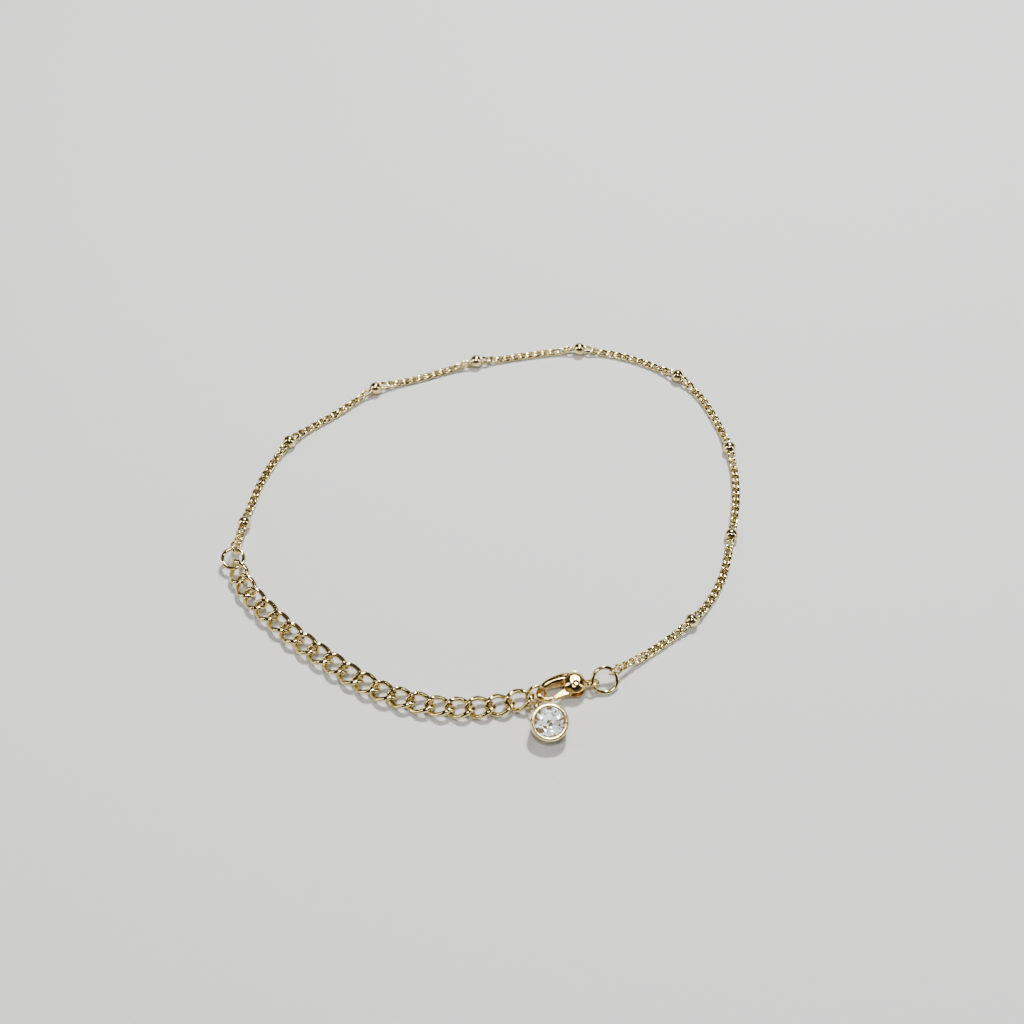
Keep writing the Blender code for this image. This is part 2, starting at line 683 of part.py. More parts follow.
def build_stone(target, finish, frame, girdle_top):
    """Round cut: a flat table, a sloping crown, a thin girdle and a pointed pavilion."""
    shape = bmesh.new()
    depth = STONE_PAVILION
    place = Matrix.Translation((0, 0, girdle_top - STONE_GIRDLE - depth / 2))
    bmesh.ops.create_cone(shape, cap_ends=True, segments=STONE_SIDES, radius1=STONE_CULET_RADIUS,
                          radius2=STONE_RADIUS, depth=depth, matrix=place)
    top = max(shape.faces, key=lambda face: face.calc_center_median().z)
    for height, radius in ((STONE_GIRDLE, STONE_RADIUS), (STONE_CROWN, STONE_TABLE_RADIUS)):
        grown = bmesh.ops.extrude_face_region(shape, geom=[top])
        verts = [item for item in grown["geom"] if isinstance(item, bmesh.types.BMVert)]
        bmesh.ops.delete(shape, geom=[top], context="FACES")
        for vert in verts:
            flat = Vector((vert.co.x, vert.co.y, 0)).normalized() * radius
            vert.co = Vector((flat.x, flat.y, vert.co.z + height))
        top = max(shape.faces, key=lambda face: face.calc_center_median().z)
    bmesh.ops.recalc_face_normals(shape, faces=shape.faces)
    mesh = bpy.data.meshes.new("charm_stone")
    shape.to_mesh(mesh)
    shape.free()
    made = new_object("charm_stone", mesh, target, finish)
    made.matrix_world = frame


def build():
    clear_scene()
    bracelet = collection("link_bracelet")
    cutters = collection("cutters")
    gold = material("pale_gold", GOLD, 0.22, 1.0)
    clasp_gold = material("clasp_gold", CLASP_GOLD, 0.18, 1.0)
    stone = material("clear_stone", STONE_CLEAR, 0.02, 0.0)
    holds = build_rings(bracelet, gold)
    build_extender(bracelet, gold, holds["left_extender"], holds["end_extender"])
    build_fine_chain(bracelet, gold, holds["left_chain"], holds["right_chain"])
    build_clasp(bracelet, cutters, clasp_gold, gold)
    build_charm(bracelet, cutters, gold, stone, holds["end_charm"])


build()
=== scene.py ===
import math

import bmesh
import bpy
from mathutils import Matrix, Vector


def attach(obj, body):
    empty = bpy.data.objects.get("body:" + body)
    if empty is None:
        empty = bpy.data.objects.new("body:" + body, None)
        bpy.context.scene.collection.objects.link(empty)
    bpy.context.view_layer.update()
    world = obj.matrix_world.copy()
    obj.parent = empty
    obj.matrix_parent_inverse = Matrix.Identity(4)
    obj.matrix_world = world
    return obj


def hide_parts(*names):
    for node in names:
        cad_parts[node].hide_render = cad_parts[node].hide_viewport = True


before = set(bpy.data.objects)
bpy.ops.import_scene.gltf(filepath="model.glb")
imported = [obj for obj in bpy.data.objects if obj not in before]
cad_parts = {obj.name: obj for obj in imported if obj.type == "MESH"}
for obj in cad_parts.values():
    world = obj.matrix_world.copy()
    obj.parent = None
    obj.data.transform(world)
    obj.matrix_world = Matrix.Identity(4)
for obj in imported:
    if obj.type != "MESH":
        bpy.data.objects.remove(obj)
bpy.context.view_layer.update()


# Jump rings. Three rounds of plated brass wire, bent closed: the left one joins the fine chain to the
# extender, the right one holds the clasp by its eye, and the thin end ring sits in the clasp's hook.
# Each leans on what it holds, so its far side stands a little higher.
MM = 0.001
LEFT_RING_MIDDLE = Vector((-33.7, -6.1, 1.58)) * MM
LEFT_RING_DIAMETER = 3.35 * MM
LEFT_RING_WIRE = 0.54 * MM
LEFT_RING_LEAN = math.radians(15)
LEFT_RING_CHAIN_ANGLE = math.radians(82)
LEFT_RING_LINK_ANGLE = math.radians(-72)
RIGHT_RING_DIAMETER = 3.7 * MM
RIGHT_RING_WIRE = 0.54 * MM
RIGHT_RING_LEAN = math.radians(37)
RIGHT_RING_CHAIN_ANGLE = math.radians(32)
END_RING_DIAMETER = 2.85 * MM
END_RING_WIRE = 0.42 * MM
END_RING_LEAN = math.radians(64)
END_RING_LINK_ANGLE = math.radians(178)
END_RING_CHARM_ANGLE = math.radians(-132)
END_RING_PAST_BAR = 0.3 * MM
END_RING_ACROSS = 0.15 * MM
END_RING_RAISE = 0.1 * MM
CLASP_EYE = Vector((13.75, -25.3, 1.25)) * MM
CLASP_TURN = math.radians(193.4)
HOOK_REACH = 7.13 * MM
RING_ROUND_STEPS = 56
RING_WIRE_SIDES = 16
PALE_LIGHT = (0.86, 0.71, 0.34, 1)
PALE_DEEP = (0.56, 0.43, 0.17, 1)
PALE_ROUGHNESS = 0.13
PALE_MOTTLE = 900.0
DEEP_UP_TO = 0.36
LIGHT_FROM = 0.62
CLOUD_DETAIL = 3.0
RUB_SCALE = 9000.0
RUB_DETAIL = 2.0
RUB_LOW = 0.3
RUB_HIGH = 0.7
RUB_STRENGTH = 0.12
RUB_DEPTH = 0.01 * MM
GLOSS_SPREAD = 0.35
DENT_SCALE = 1500.0
DENT_DETAIL = 1.0
DENT_STRENGTH = 0.08
DENT_DEPTH = 0.06 * MM
WELD_REACH = 0.0004 * MM
CORNER_STEPS = 3
ROUND_PROFILE = 0.5


def material_tree(name):
    """A new material with its nodes and its shader, to be wired up."""
    made = bpy.data.materials.new(name)
    made.use_nodes = True
    return made, made.node_tree, made.node_tree.nodes["Principled BSDF"]


def noise(tree, scale, detail):
    """A cloudy pattern fixed to the piece."""
    place = tree.nodes.new("ShaderNodeTexCoord")
    cloud = tree.nodes.new("ShaderNodeTexNoise")
    cloud.inputs["Scale"].default_value = scale
    cloud.inputs["Detail"].default_value = detail
    tree.links.new(place.outputs["Object"], cloud.inputs["Vector"])
    return cloud.outputs["Fac"]


def tones(tree, pattern, low, high, low_colour, high_colour):
    """The pattern turned into colours between two tones."""
    ramp = tree.nodes.new("ShaderNodeValToRGB")
    ramp.color_ramp.elements[0].position = low
    ramp.color_ramp.elements[0].color = low_colour
    ramp.color_ramp.elements[1].position = high
    ramp.color_ramp.elements[1].color = high_colour
    tree.links.new(pattern, ramp.inputs["Fac"])
    return ramp.outputs["Color"]


def bump(tree, pattern, strength, depth):
    relief = tree.nodes.new("ShaderNodeBump")
    relief.inputs["Strength"].default_value = strength
    relief.inputs["Distance"].default_value = depth
    tree.links.new(pattern, relief.inputs["Height"])
    return relief


def plated_metal(name, light, deep, roughness, mottle):
    """Polished plate: a warm tone that varies over each piece, fine rubbing marks and soft dents."""
    made, tree, shader = material_tree(name)
    shader.inputs["Metallic"].default_value = 1.0
    tone = tones(tree, noise(tree, mottle, CLOUD_DETAIL), DEEP_UP_TO, LIGHT_FROM, deep, light)
    tree.links.new(tone, shader.inputs["Base Color"])
    rubbed = noise(tree, RUB_SCALE, RUB_DETAIL)
    gloss = tree.nodes.new("ShaderNodeMapRange")
    gloss.inputs["From Min"].default_value = RUB_LOW
    gloss.inputs["From Max"].default_value = RUB_HIGH
    gloss.inputs["To Min"].default_value = roughness * (1 - GLOSS_SPREAD)
    gloss.inputs["To Max"].default_value = roughness * (1 + GLOSS_SPREAD)
    tree.links.new(rubbed, gloss.inputs["Value"])
    tree.links.new(gloss.outputs["Result"], shader.inputs["Roughness"])
    dents = bump(tree, noise(tree, DENT_SCALE, DENT_DETAIL), DENT_STRENGTH, DENT_DEPTH)
    relief = bump(tree, rubbed, RUB_STRENGTH, RUB_DEPTH)
    tree.links.new(dents.outputs["Normal"], relief.inputs["Normal"])
    tree.links.new(relief.outputs["Normal"], shader.inputs["Normal"])
    return made


def round_points(radius, count):
    return [Matrix.Rotation(math.tau * k / count, 3, "Z") @ Vector((radius, 0, 0)) for k in range(count)]


def leaning(middle, turn, lean):
    """Place of a flat ring: turned about the upright, then its far side raised."""
    return Matrix.Translation(middle) @ Matrix.Rotation(turn, 4, "Z") @ Matrix.Rotation(lean, 4, "X")


def ring_point(place, radius, angle):
    return place @ Vector((radius * math.cos(angle), radius * math.sin(angle), 0.0))


def as_mesh(shape, name):
    """The mesh of a worked shape."""
    mesh = bpy.data.meshes.new(name)
    shape.to_mesh(mesh)
    shape.free()
    return mesh


def turned(profile, axis, steps, rounding=0.0):
    """A closed profile spun about an axis, with its corners rounded first where asked."""
    shape = bmesh.new()
    corners = [shape.verts.new(point) for point in profile]
    for pair in zip(corners, corners[1:] + corners[:1]):
        shape.edges.new(pair)
    if rounding:
        bmesh.ops.bevel(shape, geom=corners, offset=rounding, offset_type="OFFSET",
                        segments=CORNER_STEPS, profile=ROUND_PROFILE, affect="VERTICES", material=-1)
    bmesh.ops.spin(shape, geom=shape.verts[:] + shape.edges[:], cent=(0, 0, 0), axis=axis, angle=math.tau,
                   steps=steps, use_merge=True)
    bmesh.ops.remove_doubles(shape, verts=shape.verts, dist=WELD_REACH)
    bmesh.ops.recalc_face_normals(shape, faces=shape.faces)
    return as_mesh(shape, "turned")


def closed_wire(line, wire, sides):
    """Round wire along a closed line: a spun ring whose sections are then moved onto the line."""
    count = len(line)
    middle = sum(line, Vector()) / count
    spread = 4 * wire
    shape = bmesh.new()
    upright = Matrix.Rotation(math.pi / 2, 4, "X")
    bmesh.ops.create_circle(shape, segments=sides, radius=wire / 2,
                            matrix=Matrix.Translation((spread, 0, 0)) @ upright)
    bmesh.ops.spin(shape, geom=shape.verts[:] + shape.edges[:], cent=(0, 0, 0), axis=(0, 0, 1),
                   angle=math.tau, steps=count, use_merge=True)
    bmesh.ops.remove_doubles(shape, verts=shape.verts, dist=WELD_REACH)
    for vert in shape.verts:
        k = round(math.atan2(vert.co.y, vert.co.x) / math.tau * count) % count
        along = (line[(k + 1) % count] - line[k - 1]).normalized()
        out = line[k] - middle
        out = (out - along * out.dot(along)).normalized()
        side = math.hypot(vert.co.x, vert.co.y) - spread
        vert.co = line[k] + out * side + along.cross(out) * vert.co.z
    bmesh.ops.recalc_face_normals(shape, faces=shape.faces)
    return as_mesh(shape, "wire")


def together(meshes):
    """Several meshes as one."""
    shape = bmesh.new()
    for mesh in meshes:
        shape.from_mesh(mesh)
        bpy.data.meshes.remove(mesh)
    return as_mesh(shape, "joined")


def finished(name, mesh, finish, nodes, body="bracelet"):
    """A piece with its smooth surface, its metal or stone, and the solids that it replaces."""
    mesh.name = name
    mesh.shade_smooth()
    mesh.materials.clear()
    mesh.materials.append(finish)
    piece = bpy.data.objects.new(name, mesh)
    bpy.context.scene.collection.objects.link(piece)
    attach(piece, body)
    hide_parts(*nodes)
    return piece


pale_plate = plated_metal("pale gold plate", PALE_LIGHT, PALE_DEEP, PALE_ROUGHNESS, PALE_MOTTLE)
clasp_place = Matrix.Translation(CLASP_EYE) @ Matrix.Rotation(CLASP_TURN, 4, "Z")
to_hook = clasp_place.to_3x3() @ Vector((1, 0, 0))
to_lever = clasp_place.to_3x3() @ Vector((0, 1, 0))
ring_turn = CLASP_TURN - math.pi
left_radius = (LEFT_RING_DIAMETER - LEFT_RING_WIRE) / 2
right_radius = (RIGHT_RING_DIAMETER - RIGHT_RING_WIRE) / 2
end_radius = (END_RING_DIAMETER - END_RING_WIRE) / 2
end_middle = clasp_place @ Vector((HOOK_REACH, 0, 0)) + to_hook * END_RING_PAST_BAR
end_middle += to_lever * END_RING_ACROSS + Vector((0, 0, END_RING_RAISE))
left_place = leaning(LEFT_RING_MIDDLE, 0.0, LEFT_RING_LEAN)
right_place = leaning(CLASP_EYE - to_hook * right_radius, ring_turn, RIGHT_RING_LEAN)
end_place = leaning(end_middle, ring_turn, END_RING_LEAN)
for name, node, place, radius, wire in (
    ("left_ring", "jump_ring_left", left_place, left_radius, LEFT_RING_WIRE),
    ("right_ring", "jump_ring_right", right_place, right_radius, RIGHT_RING_WIRE),
    ("hooked_ring", "end_ring", end_place, end_radius, END_RING_WIRE),
):
    line = [place @ point for point in round_points(radius, RING_ROUND_STEPS)]
    finished(name, closed_wire(line, wire, RING_WIRE_SIDES), pale_plate, [node])


# Fine curb chain. Small links of twisted round wire, soldered shut and ground a little flat above and
# below, so that they glint: eight equal lengths between the beads, a short one at the left ring and
# a longer one at the right. Inside each bead a short core joins two lengths.
CHAIN_ROUTE = (
    (-32.55, 3.10), (-30.75, 10.00), (-27.25, 16.10), (-21.86, 20.70), (-16.36, 25.30), (-9.76, 27.80),
    (-3.06, 30.30), (3.75, 31.90), (10.84, 33.10), (17.84, 32.70), (24.45, 30.10), (29.84, 25.70),
    (32.95, 19.30), (34.55, 12.30), (34.55, 5.20), (33.25, -1.80), (31.45, -8.70), (27.84, -14.70),
    (22.45, -19.40),
)
FINE_PITCH = 1.14 * MM
FINE_WIRE = 0.36 * MM
FINE_WIDTH = 1.24 * MM
FINE_TWIST = math.radians(-88)
SMALL_LINK_WIRE = 0.41 * MM
SMALL_LINK_WIDTH = 1.25 * MM
GROUND_HALF_HEIGHT = 0.31 * MM
SMALL_LINK_STEPS = 24
SMALL_WIRE_SIDES = 12
FINE_END_RISE = 6.0 * MM
FINE_ROLL_REACH = 9.0 * MM
FINE_SWAY = math.radians(5)
SWAY_PER_LINK = 2.3
SWAY_PER_MM = 40
LINK_CLEARANCE = 0.1 * MM
LEFT_END_LINK_ROLL = math.radians(46)
RIGHT_END_LINK_ROLL = math.radians(-80)
END_LINK_PITCH = 1.3 * MM
END_LINK_WIDTH = 1.75 * MM
END_LINK_CLEARANCE = 0.2 * MM
BEAD_COUNT = 9
BEAD_RADIUS = 0.925 * MM
BEAD_SPACING = 15.62 * MM
BEAD_FIRST = 5.1 * MM
BEAD_BORE_RADIUS = 0.48 * MM
BEAD_LIFT_REACH = 2.6 * MM
LINK_INTO_BEAD = 0.3 * MM
CORE_RADIUS = 0.14 * MM
CORE_SIDES = 12


class Route:
    """A smooth line through chosen points, measured by its length."""

    def __init__(self, points, steps=24):
        self.points = []
        ends = [points[0] * 2 - points[1]] + list(points) + [points[-1] * 2 - points[-2]]
        for a, b, c, d in zip(ends, ends[1:], ends[2:], ends[3:]):
            for t in (k / steps for k in range(steps)):
                self.points.append(0.5 * (2 * b + (c - a) * t + (2 * a - 5 * b + 4 * c - d) * t**2
                                          + (3 * b - a - 3 * c + d) * t**3))
        self.points.append(points[-1].copy())
        self.marks = [0.0]
        for a, b in zip(self.points, self.points[1:]):
            self.marks.append(self.marks[-1] + (b - a).length)
        self.length = self.marks[-1]

    def at(self, s, height):
        k = 0
        while k < len(self.marks) - 2 and self.marks[k + 1] < s:
            k += 1
        share = (s - self.marks[k]) / (self.marks[k + 1] - self.marks[k])
        point = self.points[k].lerp(self.points[k + 1], share)
        return Vector((point.x, point.y, height))


def route_between(start, middle_points, end):
    flat = [Vector((start.x, start.y, 0))]
    flat += [Vector((x * MM, y * MM, 0)) for x, y in middle_points]
    flat.append(Vector((end.x, end.y, 0)))
    return Route(flat)


def ease(distance, reach):
    """1 at no distance, falling smoothly to 0 at the reach."""
    if abs(distance) >= reach:
        return 0.0
    return 0.5 + 0.5 * math.cos(math.pi * distance / reach)


def curb_line(half_length, half_width, twist, count):
    """Middle line of one curb link: an oval twisted about the chain's direction."""
    points = []
    for k in range(count):
        t = math.tau * (k + 0.5) / count
        turn = twist / 2 * math.cos(t)
        across = half_width * math.sin(t)
        points.append(Vector((half_length * math.cos(t), across * math.cos(turn), across * math.sin(turn))))
    return points


def link_place(start, end, roll):
    """Place of a link between two points, rolled about the line between them."""
    along = (end - start).normalized()
    side = Vector((0, 0, 1)).cross(along).normalized()
    facing = Matrix((along, side, along.cross(side))).transposed().to_4x4()
    return Matrix.Translation((start + end) / 2) @ facing @ Matrix.Rotation(roll, 4, "X")


def set_down(mesh, place):
    copy = mesh.copy()
    copy.transform(place)
    return copy


chain_start = ring_point(left_place, left_radius, LEFT_RING_CHAIN_ANGLE)
chain_end = ring_point(right_place, right_radius, RIGHT_RING_CHAIN_ANGLE)
chain_route = route_between(chain_start, CHAIN_ROUTE, chain_end)
bead_places = [BEAD_FIRST + k * BEAD_SPACING for k in range(BEAD_COUNT)]
bead_half = math.sqrt(BEAD_RADIUS**2 - BEAD_BORE_RADIUS**2)


def on_chain(s, rest_height):
    """A point of the chain's middle: it lies flat, and rises to the rings and through each bead."""
    height = rest_height
    height += (chain_start.z - rest_height) * ease(s, FINE_END_RISE)
    height += (chain_end.z - rest_height) * ease(chain_route.length - s, FINE_END_RISE)
    for bead in bead_places:
        outside = max(0.0, abs(s - bead) - BEAD_RADIUS)
        height += (BEAD_RADIUS - rest_height) * ease(outside, BEAD_LIFT_REACH)
    return chain_route.at(s, height)


end_half_length = (END_LINK_PITCH + FINE_WIRE + END_LINK_CLEARANCE) / 2
left_middle = end_half_length - (LEFT_RING_WIRE + FINE_WIRE) / 2 - END_LINK_CLEARANCE
right_middle = chain_route.length - end_half_length + (RIGHT_RING_WIRE + FINE_WIRE) / 2 + END_LINK_CLEARANCE
joint_to_tip = SMALL_LINK_WIRE + LINK_CLEARANCE / 2
bead_joint = bead_half - LINK_INTO_BEAD + joint_to_tip
marks = [left_middle + END_LINK_PITCH / 2]
for bead in bead_places:
    marks += [bead - bead_joint, bead + bead_joint]
marks.append(right_middle - END_LINK_PITCH / 2)
pieces = []
for low, high in zip(marks[::2], marks[1::2]):
    count = round((high - low) / FINE_PITCH)
    pitch = (high - low) / count
    half_length = (pitch + SMALL_LINK_WIRE + LINK_CLEARANCE) / 2
    half_width = (SMALL_LINK_WIDTH - SMALL_LINK_WIRE) / 2
    curb = curb_line(half_length, half_width, FINE_TWIST, SMALL_LINK_STEPS)
    link = closed_wire(curb, SMALL_LINK_WIRE, SMALL_WIRE_SIDES)
    for vert in link.vertices:
        vert.co.z = max(-GROUND_HALF_HEIGHT, min(GROUND_HALF_HEIGHT, vert.co.z))
    for k in range(count):
        s = low + (k + 0.5) * pitch
        roll = LEFT_END_LINK_ROLL * ease(s, FINE_ROLL_REACH)
        roll += RIGHT_END_LINK_ROLL * ease(chain_route.length - s, FINE_ROLL_REACH)
        roll += FINE_SWAY * math.sin(SWAY_PER_LINK * k + SWAY_PER_MM * low / MM)
        rest = SMALL_LINK_WIRE / 2 - min((Matrix.Rotation(roll, 3, "X") @ p).z for p in curb)
        start = on_chain(s - pitch / 2, rest)
        end = on_chain(s + pitch / 2, rest)
        pieces.append(set_down(link, link_place(start, end, roll)))
core_half = bead_half - LINK_INTO_BEAD
for bead in bead_places:
    shape = bmesh.new()
    bmesh.ops.create_cone(shape, cap_ends=True, segments=CORE_SIDES, radius1=CORE_RADIUS,
                          radius2=CORE_RADIUS, depth=2 * core_half,
                          matrix=Matrix.Rotation(math.pi / 2, 4, "Y"))
    core = as_mesh(shape, "core")
    start = on_chain(bead - core_half, BEAD_RADIUS)
    end = on_chain(bead + core_half, BEAD_RADIUS)
    core.transform(link_place(start, end, 0))
    pieces.append(core)
finished("fine_chain", together(pieces), pale_plate, ["satellite_chain"])


# End links of the fine chain. One wider curb link at each end, of slightly finer wire, goes round the
# jump ring, because the ring's thicker wire doesn't pass through the small links.
END_LINK_STEPS = 32
end_line = curb_line(end_half_length, (END_LINK_WIDTH - FINE_WIRE) / 2, FINE_TWIST, END_LINK_STEPS)
end_link = closed_wire(end_line, FINE_WIRE, SMALL_WIRE_SIDES)
for name, node, middle, roll in (
    ("left_end_link", "chain_end_link_left", left_middle, LEFT_END_LINK_ROLL),
    ("right_end_link", "chain_end_link_right", right_middle, RIGHT_END_LINK_ROLL),
):
    start = on_chain(middle - END_LINK_PITCH / 2, FINE_WIDTH / 2)
    end = on_chain(middle + END_LINK_PITCH / 2, FINE_WIDTH / 2)
    mesh = set_down(end_link, link_place(start, end, roll))
    finished(name, mesh, pale_plate, [node])


# Beads. Nine small round balls of the same plate, drilled through and set on the chain's cores at
# equal distances. Their holes are slightly countersunk, so the rims catch the light.
BEAD_RIM = 0.05 * MM
BEAD_PROFILE_STEPS = 18
BEAD_ROUND_STEPS = 40
BEAD_SHARP_EDGE = math.radians(50)
rise = math.asin((BEAD_BORE_RADIUS + BEAD_RIM) / BEAD_RADIUS)
bead_profile = [(bead_half - BEAD_RIM, 0, BEAD_BORE_RADIUS)]
for k in range(BEAD_PROFILE_STEPS):
    angle = rise + (math.pi - 2 * rise) * k / (BEAD_PROFILE_STEPS - 1)
    bead_profile.append((BEAD_RADIUS * math.cos(angle), 0, BEAD_RADIUS * math.sin(angle)))
bead_profile.append((BEAD_RIM - bead_half, 0, BEAD_BORE_RADIUS))
rest = FINE_WIDTH / 2
for number, bead in enumerate(bead_places):
    mesh = turned(bead_profile, (1, 0, 0), BEAD_ROUND_STEPS)
    mesh.transform(link_place(on_chain(bead - bead_half, rest), on_chain(bead + bead_half, rest), 0))
    finished(f"ball_{number + 1}", mesh, pale_plate, [f"bead_{number + 1}"])
    mesh.set_sharp_from_angle(angle=BEAD_SHARP_EDGE)


# Extender. Nineteen heavier curb links of round wire, so that the clasp's hook can close the bracelet
# at any of them. The first few lean, to clear the left ring, and the others lie almost flat.
EXTENDER_ROUTE = (
    (-30.96, -11.70), (-27.55, -15.20), (-24.05, -18.60), (-20.25, -21.50), (-16.36, -24.40),
    (-12.16, -26.70), (-7.56, -28.20), (-2.75, -28.80), (2.04, -28.40),
)
EXTENDER_COUNT = 19
EXTENDER_WIRE = 0.64 * MM
EXTENDER_WIDTH = 3.1 * MM
EXTENDER_TWIST = math.radians(-88)
EXTENDER_CLEARANCE = 0.26 * MM
EXTENDER_LINK_STEPS = 48
EXTENDER_WIRE_SIDES = 14
EXTENDER_ROLLS = (33, 26, 19, 9, 4, 6, 10, 2, 4, 8, 4, -4, 2, 4, -4, 2, 8, 8, 6)
extender_start = ring_point(left_place, left_radius, LEFT_RING_LINK_ANGLE)
extender_end = ring_point(end_place, end_radius, END_RING_LINK_ANGLE)
extender_route = route_between(extender_start, EXTENDER_ROUTE, extender_end)
first_hold = (LEFT_RING_WIRE + EXTENDER_WIRE) / 2 + EXTENDER_CLEARANCE
last_hold = (END_RING_WIRE + EXTENDER_WIRE) / 2 + EXTENDER_CLEARANCE
held_length = extender_route.length + first_hold + last_hold
pitch = (held_length - EXTENDER_WIRE - EXTENDER_CLEARANCE) / EXTENDER_COUNT
half_length = (pitch + EXTENDER_WIRE + EXTENDER_CLEARANCE) / 2
half_width = (EXTENDER_WIDTH - EXTENDER_WIRE) / 2
curb = curb_line(half_length, half_width, EXTENDER_TWIST, EXTENDER_LINK_STEPS)
rolls = [math.radians(angle) for angle in EXTENDER_ROLLS]
drops = [EXTENDER_WIRE / 2 - min((Matrix.Rotation(roll, 3, "X") @ p).z for p in curb) for roll in rolls]
heights = [extender_start.z] + [max(a, b) for a, b in zip(drops, drops[1:])] + [extender_end.z]
link = closed_wire(curb, EXTENDER_WIRE, EXTENDER_WIRE_SIDES)
for k, roll in enumerate(rolls):
    s = half_length - first_hold + k * pitch
    place = link_place(extender_route.at(s - pitch / 2, heights[k]),
                       extender_route.at(s + pitch / 2, heights[k + 1]), roll)
    finished(f"curb_link_{k + 1:02d}", set_down(link, place), pale_plate,
             [f"extender_link_{k + 1:02d}"])


# Lobster clasp. A cast and polished body of yellower gold: an eye, a swelling base that houses the
# spring, and a hook that curls round at its tip. A riveted pin carries the sprung lever, whose gate
# closes the hook on the near side and whose thumb nib stands out on the far side.
CLASP_THICKNESS = 2.5 * MM
CLASP_FLATTEN = 1.22
EYE_RADIUS = 0.68 * MM
EYE_WIRE = 0.4 * MM
EYE_ROLL = math.radians(30)
HOOK_BOW = 1.28 * MM
HOOK_ROOT_RADIUS = 0.82 * MM
HOOK_SHAPE = (
    (0.309, -0.82, 1.0), (0.463, -1.0, 0.976), (0.617, -1.0, 0.878), (0.757, -0.875, 0.756),
    (0.884, -0.61, 0.573), (0.972, -0.26, 0.439), (1.0, 0.094, 0.402), (0.975, 0.484, 0.39),
    (0.912, 0.766, 0.39), (0.834, 0.89, 0.378), (0.785, 0.94, 0.366),
)
BASE_MIDDLE = Vector((2.35, -0.3, 0)) * MM
BASE_HALF_SIZES = (1.6 * MM, 1.7 * MM, 1.36 * MM)
NECK_RADIUS = 0.5 * MM
NECK_LENGTH = 1.1 * MM
SLOT_HEIGHT = 0.9 * MM
SLOT_BACK = 1.36 * MM
SLOT_FLOOR = -0.75 * MM
NIB_SLOT_BACK = 0.45 * MM
NIB_SLOT_FRONT = 2.9 * MM
PIN_PLACE = Vector((2.35, 0.25, 0)) * MM
PIN_RADIUS = 0.28 * MM
PIN_RECESS = 0.15 * MM
PIN_CLEARANCE = 0.12 * MM
PIN_EDGE_STEPS = 4
LEVER_TIP = Vector((5.4, 1.16, 0)) * MM
LEVER_BOSS_RADIUS = 0.62 * MM
LEVER_HALF_WIDTH = 0.28 * MM
NIB_TIP = Vector((1.85, -2.2, 0)) * MM
NIB_ROOT_RADIUS = 0.4 * MM
CAST_GRAIN = 0.05 * MM
CAST_ROUNDS = 5
LEVER_GRAIN = CAST_GRAIN * 0.8
LEVER_ROUNDS = 4
CAST_POLISH = 0.5
NIB_DEPTH_SHARE = 0.96
BASE_SIDES = 48
BASE_ROWS = 32
BAR_ROOT_STEPS = 24
BAR_TIP_STEPS = 16
NEAR_POLE = 0.9999
HOOK_STEPS = 5
HOOK_SIDES = 32
EYE_STEPS = 48
EYE_SIDES = 16
ROD_SIDES = 40
YELLOW_LIGHT = (0.90, 0.66, 0.26, 1)
YELLOW_DEEP = (0.58, 0.36, 0.11, 1)
YELLOW_ROUGHNESS = 0.12
YELLOW_MOTTLE = 1400.0
yellow_plate = plated_metal("clasp gold plate", YELLOW_LIGHT, YELLOW_DEEP, YELLOW_ROUGHNESS, YELLOW_MOTTLE)


def part_object(shape, name, place=Matrix.Identity(4)):
    """A worked shape as an object of its own, to be joined, cut or cut with."""
    bmesh.ops.recalc_face_normals(shape, faces=shape.faces)
    mesh = as_mesh(shape, name)
    mesh.transform(place)
    made = bpy.data.objects.new(name, mesh)
    bpy.context.scene.collection.objects.link(made)
    return made


def block(low, high, name):
    shape = bmesh.new()
    size = [b - a for a, b in zip(low, high)]
    middle = [(a + b) / 2 for a, b in zip(low, high)]
    bmesh.ops.create_cube(shape, size=1.0, matrix=Matrix.Translation(middle) @ Matrix.Diagonal((*size, 1)))
    return part_object(shape, name)


def rod(radius, depth, place, name):
    shape = bmesh.new()
    bmesh.ops.create_cone(shape, cap_ends=True, segments=ROD_SIDES, radius1=radius, radius2=radius,
                          depth=depth, matrix=place)
    return part_object(shape, name)


def cast(base, steps, grain, rounds):
    """Joins and cuts the base with other shapes, then rounds every edge as casting and polishing do."""
    for other, operation in steps:
        step = base.modifiers.new(other.name, "BOOLEAN")
        step.operation = operation
        step.object = other
        step.solver = "EXACT"
    skin = base.modifiers.new("skin", "REMESH")
    skin.mode = "VOXEL"
    skin.voxel_size = grain
    polish = base.modifiers.new("polish", "SMOOTH")
    polish.factor = CAST_POLISH
    polish.iterations = rounds
    mesh = bpy.data.meshes.new_from_object(base.evaluated_get(bpy.context.evaluated_depsgraph_get()))
    for item in [base] + [other for other, _ in steps]:
        bpy.data.objects.remove(item)
    return mesh


shape = bmesh.new()
bmesh.ops.create_uvsphere(shape, u_segments=BASE_SIDES, v_segments=BASE_ROWS, radius=1.0,
                          matrix=Matrix.Translation(BASE_MIDDLE) @ Matrix.Diagonal((*BASE_HALF_SIZES, 1)))
base = part_object(shape, "clasp base")

